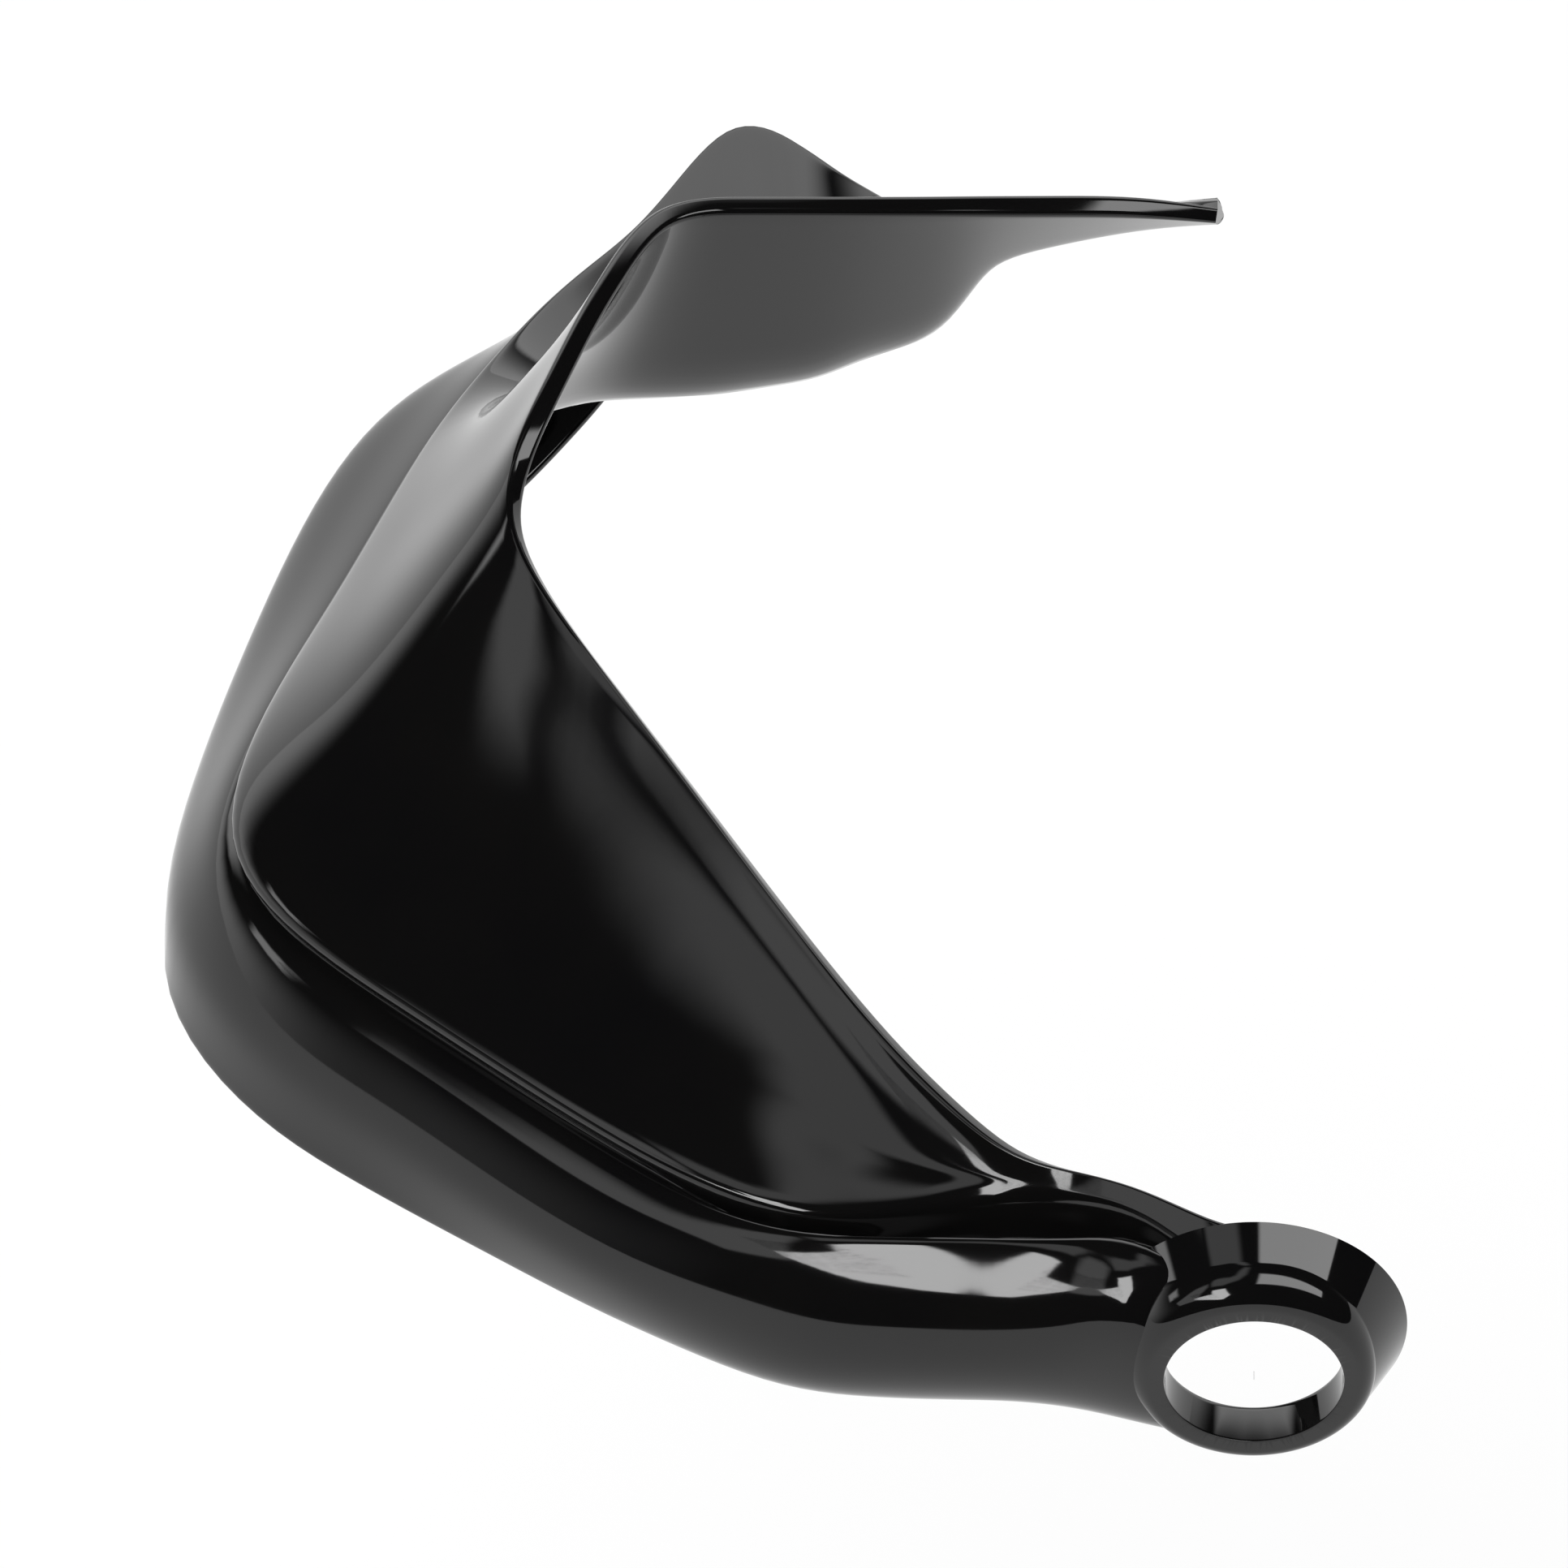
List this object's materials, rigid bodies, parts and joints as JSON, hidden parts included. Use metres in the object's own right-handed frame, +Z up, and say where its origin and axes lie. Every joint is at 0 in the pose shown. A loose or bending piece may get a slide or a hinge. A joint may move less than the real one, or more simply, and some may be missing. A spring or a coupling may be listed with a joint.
{
  "type": "motorcycle hand guard",
  "caption": "One-piece gloss black hand guard for the left bar end: a ring, an arm, a flared shield over a bumper band, and an inboard wing.",
  "frame": {"origin": "centre of the bar-end bore in the ring's flat outboard face", "axes": "+Y outboard along the bore axis, +X forward, +Z up"},
  "size_m": [0.1559, 0.2124, 0.0684],
  "materials": {
    "gloss_black": "high gloss moulded black"
  },
  "bodies": {
    "root": {"hand_guard": "gloss_black"}
  },
  "joints": []
}
